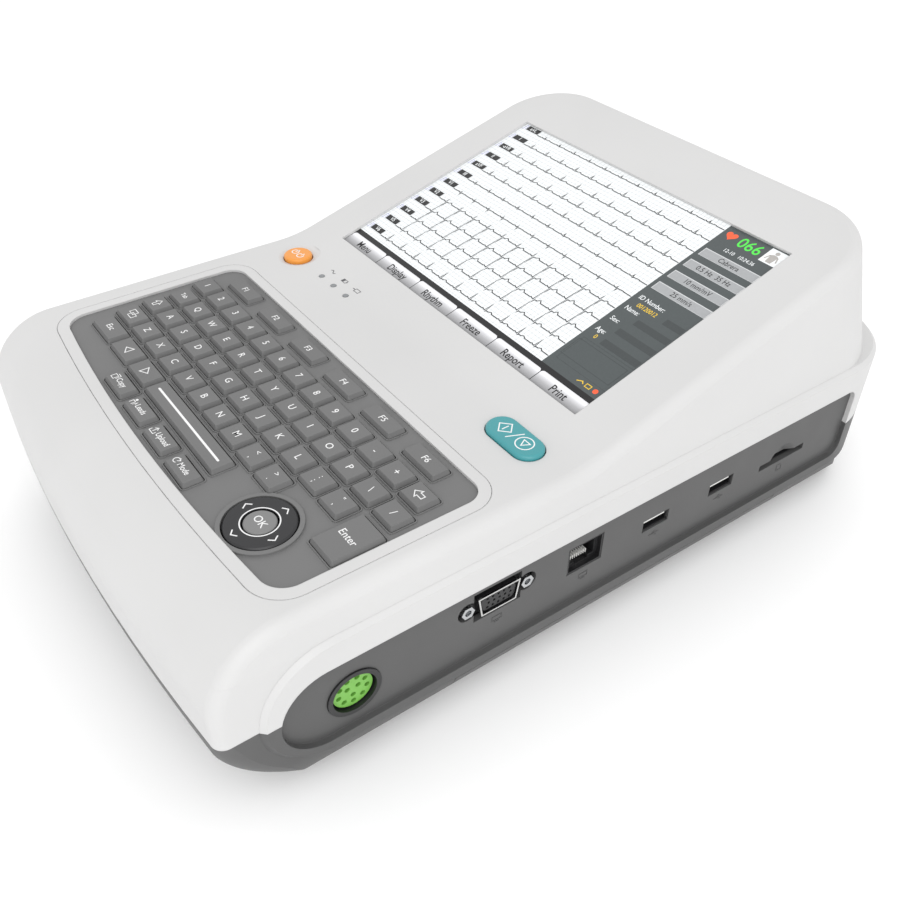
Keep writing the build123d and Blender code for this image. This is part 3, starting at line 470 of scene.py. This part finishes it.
def power_marks():
    low, high = node_box("power_button")
    x, y = (low.x + high.x) / 2, (low.y + high.y) / 2
    draw = Drawing(flat_at(high.z))
    draw.ribbon(arc_points(x - 2.1, y, 1.55, 0, 345, 24), 0.42, True)
    draw.ribbon([(x - 2.1, y - 0.1), (x - 2.1, y + 2.3)], 0.42)
    draw.ribbon(arc_points(x + 2.1, y, 1.55, 125, 415, 22), 0.42)
    draw.ribbon([(x + 2.1, y + 0.2), (x + 2.1, y + 2.2)], 0.42)
    draw.piece("power_legend", INK, "power", "power_orange")


def start_marks():
    low, high = node_box("start_button")
    x, y = (low.x + high.x) / 2, (low.y + high.y) / 2
    draw = Drawing(flat_at(high.z))
    draw.ribbon([(x - 8.6, y), (x - 5.4, y + 3.1), (x - 2.2, y), (x - 5.4, y - 3.1)], 0.44, True)
    draw.ribbon([(x - 5.4, y - 1.5), (x - 5.4, y + 1.5)], 0.44)
    draw.ribbon([(x - 1.5, y - 3.2), (x + 1.3, y + 3.2)], 0.44)
    draw.ribbon(arc_points(x + 5.2, y, 3.3, 0, 350, 36), 0.44, True)
    draw.ribbon([(x + 3.6, y + 1.2), (x + 6.8, y + 1.2), (x + 5.2, y - 1.7)], 0.4, True)
    draw.piece("start_legend", INK, "start", "start_teal")


power_marks()
start_marks()


# ---------------------------------------------------------------- screen page

def screen_place():
    """Plane of the screen's face: drawing x across, drawing y up the slope."""
    low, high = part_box("touch_glass")
    normal = Vector((0, -math.sin(TILT), math.cos(TILT)))
    up = Vector((0, math.cos(TILT), math.sin(TILT)))
    origin = (low + high) / 2 + normal * 0.9 * MM
    axes = Matrix((Vector((1, 0, 0)), up, normal)).transposed().to_4x4()
    return Matrix.Translation(origin) @ axes


PAGE = screen_place()
HALF_U, HALF_V = 79.2, 54.3
PAGE_SLOT = "display"


def page(low=-0.02, high=0.03):
    return Drawing(PAGE, low, high)


def tab_material():
    """Brushed silver soft keys: light and dark bands across their height."""
    made, tree, shader = principled("soft_key_silver", (0.6, 0.6, 0.62), 0.35)
    coords = tree.nodes.new("ShaderNodeTexCoord")
    along = tree.nodes.new("ShaderNodeVectorMath")
    along.operation = "DOT_PRODUCT"
    along.inputs[1].default_value = (0, math.cos(TILT), math.sin(TILT))
    tree.links.new(coords.outputs["Object"], along.inputs[0])
    foot = (PAGE @ Vector((0, -HALF_V * MM, 0))).dot(Vector((0, math.cos(TILT), math.sin(TILT))))
    span = tree.nodes.new("ShaderNodeMapRange")
    span.inputs["From Min"].default_value = foot
    span.inputs["From Max"].default_value = foot + 7.4 * MM
    tree.links.new(along.outputs["Value"], span.inputs[0])
    ramp = tree.nodes.new("ShaderNodeValToRGB")
    stops = [(0.0, 0.16), (0.18, 0.30), (0.42, 0.42), (0.62, 0.62), (0.82, 0.92), (1.0, 0.70)]
    while len(ramp.color_ramp.elements) < len(stops):
        ramp.color_ramp.elements.new(0.5)
    for element, (position, grey) in zip(ramp.color_ramp.elements, stops):
        element.position = position
        element.color = (grey, grey, grey * 1.03, 1)
    tree.links.new(span.outputs[0], ramp.inputs[0])
    tree.links.new(ramp.outputs[0], shader.inputs["Base Color"])
    return made


SCREEN = {
    "white": printed("page_white", (0.80, 0.82, 0.83), 0.35, 0.06),
    "grid": printed("page_grid", (0.50, 0.53, 0.55), 0.35),
    "trace": printed("page_trace", (0.012, 0.012, 0.013), 0.5),
    "black": printed("page_black", (0.004, 0.004, 0.005), 0.3),
    "panel": printed("page_panel", (0.066, 0.078, 0.080), 0.35),
    "bar": printed("page_bar", (0.045, 0.053, 0.055), 0.35),
    "button": printed("page_button", (0.36, 0.37, 0.38), 0.35),
    "edge": printed("page_button_edge", (0.62, 0.63, 0.64), 0.35),
    "green": printed("page_green", (0.07, 0.62, 0.06), 0.35, 0.25),
    "red": printed("page_red", (0.85, 0.10, 0.03), 0.35, 0.15),
    "yellow": printed("page_yellow", (0.75, 0.50, 0.03), 0.35, 0.15),
    "blue": printed("page_blue", (0.30, 0.30, 0.62), 0.35),
    "skin": printed("page_figure", (0.42, 0.40, 0.38), 0.45),
}


def show(draw, name, color):
    return draw.piece("screen_" + name, SCREEN[color], "body", PAGE_SLOT)


TAG_X, TAG_TOP, TAG_STEP = -72.2, 52.5, 8.34
PAGE_RIGHT, PAGE_FOOT = 49.0, -44.4
LEADS = (
    ("aVL", 1.2, -0.3, 0.3), ("I", 2.6, -0.3, 0.6), ("-aVR", 3.0, -0.4, 0.6), ("II", 3.4, -0.5, 0.7),
    ("aVF", 2.8, -0.4, 0.6), ("III", 1.3, -0.5, 0.3), ("V1", 0.9, -1.6, 0.2), ("V2", 2.2, -4.0, 0.9),
    ("V3", 7.6, -3.2, 1.2), ("V4", 8.4, -2.0, 1.2), ("V5", 6.8, -1.2, 1.0), ("V6", 4.2, -0.5, 0.7),
)
BEAT = 10.3


def heartbeat(base, x0, x1, high, low, wave):
    """One lead's line: a small bump, the sharp beat and a round wave, over and over."""
    points = [(x0, base)]
    x = x0 + 3.0
    while x + BEAT < x1:
        for dx, dy in ((0.0, 0), (0.5, 0.35), (1.0, 0), (1.7, 0), (1.95, -0.15), (2.35, high), (2.75, low),
                       (3.05, 0), (4.3, 0.05), (5.0, wave * 0.7), (5.5, wave), (6.0, wave * 0.5), (6.5, 0)):
            points.append((x + dx, base + dy))
        x += BEAT
    points.append((x1, base))
    return points


def draw_page():
    sheet = page(-0.02, 0.02)
    sheet.rect(-HALF_U, PAGE_FOOT, PAGE_RIGHT, HALF_V)
    show(sheet, "chart_page", "white")

    grid = page(0.0, 0.03)
    x = -HALF_U + 1.2
    while x < PAGE_RIGHT:
        grid.rect(x - 0.07, PAGE_FOOT, x + 0.07, HALF_V)
        x += 2.085
    y = PAGE_FOOT + 1.0
    while y < HALF_V:
        grid.rect(-HALF_U, y - 0.07, PAGE_RIGHT, y + 0.07, high=0.032)
        y += 2.085
    show(grid, "chart_grid", "grid")

    traces, tags, names, marks = page(0.0, 0.05), page(0.0, 0.06), page(0.05, 0.09), page(0.0, 0.05)
    for i, (name, high, low, wave) in enumerate(LEADS):
        y = TAG_TOP - TAG_STEP * i
        start = TAG_X + 4.6
        traces.ribbon(heartbeat(y - 1.7, start, PAGE_RIGHT - 0.2, high, low, wave), 0.42)
        tags.rect(TAG_X - 4.2, y - 1.6, TAG_X + 4.2, y + 1.5)
        names.text(name, TAG_X, y, 3.0, squeeze=0.9, bold=0.02)
        marks.ribbon([(-78.9, y - 1.7), (-78.1, y - 1.7), (-78.1, y + 1.1), (-76.9, y + 1.1), (-76.9, y - 1.7)], 0.22)
    show(traces, "traces", "trace")
    show(tags, "lead_tags", "black")
    show(names, "lead_names", "white")
    show(marks, "gain_marks", "blue")


def draw_soft_keys():
    strip = page()
    strip.rect(-HALF_U, -HALF_V, HALF_U, PAGE_FOOT)
    show(strip, "foot_strip", "black")
    tabs, words = page(0.0, 0.06), page(0.06, 0.09)
    width = 2 * HALF_U / 6
    for i, word in enumerate(("Menu", "Display", "Rhythm", "Freeze", "Report", "Print")):
        x0 = -HALF_U + width * i
        outline = [(x0 + 0.15, -HALF_V), (x0 + width - 0.15, -HALF_V)]
        outline += arc_points(x0 + width - 1.6, -48.4, 1.4, 0, 90, 6)
        outline += arc_points(x0 + 1.6, -48.4, 1.4, 90, 180, 6)
        tabs.polygon(outline)
        words.text(word, x0 + width / 2, -50.9, 5.0, squeeze=0.86, bold=0.06)
    made = tabs.piece("screen_soft_keys", tab_material(), "body", PAGE_SLOT)
    show(words, "soft_key_words", "trace")
    return made


def heart(draw, x, y, size):
    points = []
    for i in range(36):
        t = 2 * math.pi * i / 36
        px = 16 * math.sin(t) ** 3
        py = 13 * math.cos(t) - 5 * math.cos(2 * t) - 2 * math.cos(3 * t) - math.cos(4 * t)
        points.append((x + px * size / 32, y + py * size / 32))
    draw.polygon(points[::-1])


def draw_side_column():
    column = page()
    column.rect(PAGE_RIGHT, PAGE_FOOT, HALF_U, HALF_V)
    show(column, "column", "panel")

    sign = page(0.0, 0.06)
    heart(sign, 53.6, 49.7, 5.2)
    sign.disc(75.6, -41.7, 1.1, 16)
    show(sign, "red_signs", "red")
    number = page(0.0, 0.06)
    number.text("066", 63.6, 48.9, 8.0, squeeze=0.92, bold=0.07)
    show(number, "rate", "green")

    clock, plates, edges, labels = page(0.0, 0.06), page(0.0, 0.07), page(0.0, 0.05), page(0.07, 0.1)
    clock.text("12-10   10:24:36", 64.3, 42.0, 2.7, squeeze=0.85)
    for y, word in ((36.4, "Cabrera"), (28.2, "0.5 Hz  35 Hz"), (19.8, "10 mm/mV"), (11.4, "25 mm/s")):
        edges.rect(50.9, y - 2.35, 78.3, y + 2.35)
        plates.rect(51.2, y - 2.2, 78.0, y + 1.95)
        labels.text(word, 64.6, y - 0.1, 3.5, squeeze=0.86)
    for y, word in ((2.9, "ID Number:"), (-4.4, "Name:"), (-11.8, "Sex:"), (-19.1, "Age:")):
        clock.text(word, 51.3, y, 3.2, "LEFT", 0.84, 0.01)
    frame_box = page(0.0, 0.05)
    frame_box.ribbon([(50.8, -36.6), (76.6, -36.6), (76.6, -27.1), (50.8, -27.1)], 0.22, True)
    frame_box.ribbon([(51.6, -39.4), (78.4, -39.4), (78.4, -25.6), (51.6, -25.6)], 0.14, True)
    for x0, y in ((68.5, -1.0), (60.5, -8.0), (58.5, -15.4), (58.5, -22.8)):
        frame_box.rect(x0, y - 1.6, 77.6, y + 1.6)
    values = page(0.0, 0.06)
    values.text("00120012", 54.0, -0.9, 3.0, "LEFT", 0.84, 0.01)
    values.text("0", 54.0, -22.8, 3.0, "LEFT", 0.9, 0.01)
    values.ribbon([(66.2, -42.3), (68.4, -41.2), (69.4, -42.2)], 0.4)
    values.ribbon([(70.6, -42.5), (73.0, -42.5), (73.0, -40.9), (70.6, -40.9)], 0.3, True)
    show(clock, "column_words", "white")
    show(edges, "plate_edges", "edge")
    show(plates, "plates", "button")
    show(labels, "plate_words", "black")
    show(frame_box, "column_boxes", "bar")
    show(values, "values", "yellow")

    picture, figure = page(0.0, 0.06), page(0.05, 0.09)
    picture.rect(70.8, 45.3, 78.4, 53.7)
    figure.disc(74.6, 52.0, 0.95, 20)
    figure.polygon([(73.4, 46.0), (75.8, 46.0), (76.3, 50.2), (75.4, 50.8), (73.8, 50.8), (72.9, 50.2)])
    figure.ribbon([(72.9, 50.1), (71.9, 47.4)], 0.55)
    figure.ribbon([(76.3, 50.1), (77.3, 47.4)], 0.55)
    show(picture, "lead_picture", "white")
    show(figure, "lead_figure", "skin")


draw_page()
draw_soft_keys()
draw_side_column()


# ---------------------------------------------------------------- deck marks

DECK_INK = printed("deck_ink", (0.10, 0.10, 0.105), 0.5)


def deck_marks():
    """Small signs behind the three lamps: mains, battery level, charging."""
    foot = Matrix.Translation((0, -20.4 * MM, 84.2 * MM))
    draw = Drawing(foot @ Matrix.Rotation(math.radians(4.6), 4, "X"), -0.15, 0.05)
    y = 0.0
    wave = [(-61.8 + 0.3 * i, y + 0.7 * math.sin(i / 12 * 2 * math.pi)) for i in range(13)]
    draw.ribbon(wave, 0.35)
    draw.ribbon([(-52.0, y - 0.9), (-49.0, y - 0.9), (-49.0, y + 0.9), (-52.0, y + 0.9)], 0.28, True)
    draw.rect(-51.8, y - 0.8, -50.6, y + 0.8)
    draw.rect(-48.9, y - 0.4, -48.5, y + 0.4)
    draw.ribbon([(-42.2, y), (-43.4, y)], 0.4)
    draw.ribbon([(-41.8, y - 0.9), (-38.8, y - 0.9), (-38.8, y + 0.9), (-41.8, y + 0.9)], 0.28, True)
    draw.piece("lamp_signs", DECK_INK, "body", "housing")


deck_marks()


# ---------------------------------------------------------------- socket details

TONGUE = moulded("tongue_white", (0.74, 0.74, 0.72), 0.40, 1400, 0.06, 0.1)


def solid_box(name, material, x, y, z, slot):
    """A small closed block from ranges in millimetres, fixed to the body."""
    draw = Drawing(flat_at(0), z[0], z[1])
    draw.polygon([(x[0], y[0]), (x[1], y[0]), (x[1], y[1]), (x[0], y[1])])
    return draw.piece(name, material, "body", slot)


def usb_tongues():
    low, high = node_box("usb_ports")
    for i, y in enumerate((low.y + 6.55, high.y - 6.55)):
        solid_box("usb_tongue_%d" % i, TONGUE, (high.x - 1.2, high.x - 0.3), (y - 5.4, y + 5.4),
                  (high.z - 2.2, high.z - 1.5), "socket_black")


def jack_contacts():
    """Eight spring contacts in the floor of the network jack."""
    low, high = node_box("network_jack")
    middle = (low.y + high.y) / 2
    for i in range(8):
        y = middle + (i - 3.5) * 1.02
        solid_box("jack_contact_%d" % i, TONGUE, (high.x - 5.6, high.x - 3.4), (y - 0.16, y + 0.16),
                  (high.z - 10.4, high.z - 8.6), "contact_metal")


def side_signs():
    """Faint raised signs under the sockets: plain shapes, no lettering."""
    sign = Drawing(side_at(103.0), -0.02, 0.12)
    for node, drop in (("network_jack", 4.2), ("vga_port", 4.4)):
        low, high = node_box(node)
        y, z = (low.y + high.y) / 2, high.z - (12.8 if node == "network_jack" else 12.4) - drop
        sign.ribbon([(y - 2.0, z - 0.8), (y + 2.0, z - 0.8), (y + 2.0, z + 1.2), (y - 2.0, z + 1.2)], 0.25, True)
        sign.ribbon([(y - 1.0, z - 1.6), (y + 1.0, z - 1.6)], 0.25)
    low, high = node_box("usb_ports")
    for y in (low.y + 6.55, high.y - 6.55):
        z = high.z - 9.0
        sign.ribbon([(y - 2.6, z), (y + 2.6, z)], 0.25)
        sign.ribbon([(y - 1.2, z), (y, z + 1.1), (y + 0.9, z + 1.1)], 0.22)
        sign.ribbon([(y - 0.4, z), (y + 0.6, z - 1.1), (y + 1.4, z - 1.1)], 0.22)
    low, high = node_box("card_slot")
    y, z = (low.y + high.y) / 2, high.z - 7.6
    sign.ribbon([(y - 1.4, z - 1.4), (y + 1.4, z - 1.4), (y + 1.4, z + 0.7), (y + 0.6, z + 1.5), (y - 1.4, z + 1.5)],
                0.25, True)
    sign.piece("side_signs", MAT["case"], "body", "case_grey")


def video_rim():
    """The bright edge of the video socket's D-shaped shell."""
    low, high = node_box("vga_port")
    y, z = (low.y + high.y) / 2, high.z - 6.2
    rim = Drawing(side_at(high.x), -0.6, 0.03)
    outline = [(y - 8.5, z + 4.2), (y + 8.5, z + 4.2), (y + 7.1, z - 4.2), (y - 7.1, z - 4.2)]
    rim.ribbon(outline, 0.6, True)
    rim.piece("video_socket_rim", MAT["shell"], "body", "sheet_steel")


usb_tongues()
jack_contacts()
video_rim()
side_signs()


# ---------------------------------------------------------------- stage

def light(name, kind, energy, place, aim, size):
    lamp = bpy.data.lights.new(name, "AREA")
    lamp.energy, lamp.shape, lamp.size, lamp.size_y = energy, kind, size[0], size[1]
    made = bpy.data.objects.new(name, lamp)
    made.location = place
    made.rotation_euler = (Vector(aim) - Vector(place)).to_track_quat("-Z", "Y").to_euler()
    bpy.context.scene.collection.objects.link(made)


def build_stage():
    bm = bmesh.new()
    bmesh.ops.create_grid(bm, x_segments=8, y_segments=8, size=6.0)
    mesh = bpy.data.meshes.new("floor")
    bm.to_mesh(mesh)
    bm.free()
    floor = bpy.data.objects.new("floor", mesh)
    made, tree, shader = principled("floor_paper", (0.97, 0.97, 0.97), 0.85)
    vary_color(tree, shader, (0.97, 0.97, 0.97), 0.01, 3)
    surface(tree, shader, 300, 0.02)
    floor.data.materials.append(made)
    bpy.context.scene.collection.objects.link(floor)

    world = bpy.data.worlds.new("studio")
    world.use_nodes = True
    back = world.node_tree.nodes["Background"]
    back.inputs[0].default_value = (1.0, 1.0, 1.0, 1)
    back.inputs[1].default_value = 1.0
    bpy.context.scene.world = world
    light("key", "RECTANGLE", 10.0, (0.9, -0.7, 1.5), (0, 0, 0.05), (1.6, 1.6))
    light("side", "RECTANGLE", 4.0, (1.4, -0.5, 0.7), (0, 0, 0.05), (1.2, 1.0))
    bpy.context.scene.view_settings.view_transform = "Standard"


build_stage()


def build_camera():
    """Camera in front of the right side, above the keyboard, turned by a slight roll."""
    right = Vector((0.57966788, 0.81478701, 0.01035763))
    up = Vector((-0.52382887, 0.36287336, 0.7706661))
    back = Vector((0.62417022, -0.45215601, 0.63715499))
    lens = bpy.data.cameras.new("camera")
    lens.sensor_width, lens.lens = 36.0, 38.92
    lens.clip_start, lens.clip_end = 0.01, 50.0
    camera = bpy.data.objects.new("camera", lens)
    axes = Matrix((right, up, back)).transposed().to_4x4()
    camera.matrix_world = Matrix.Translation((0.27165, -0.19722, 0.29314)) @ axes
    bpy.context.scene.collection.objects.link(camera)
    bpy.context.scene.camera = camera


build_camera()
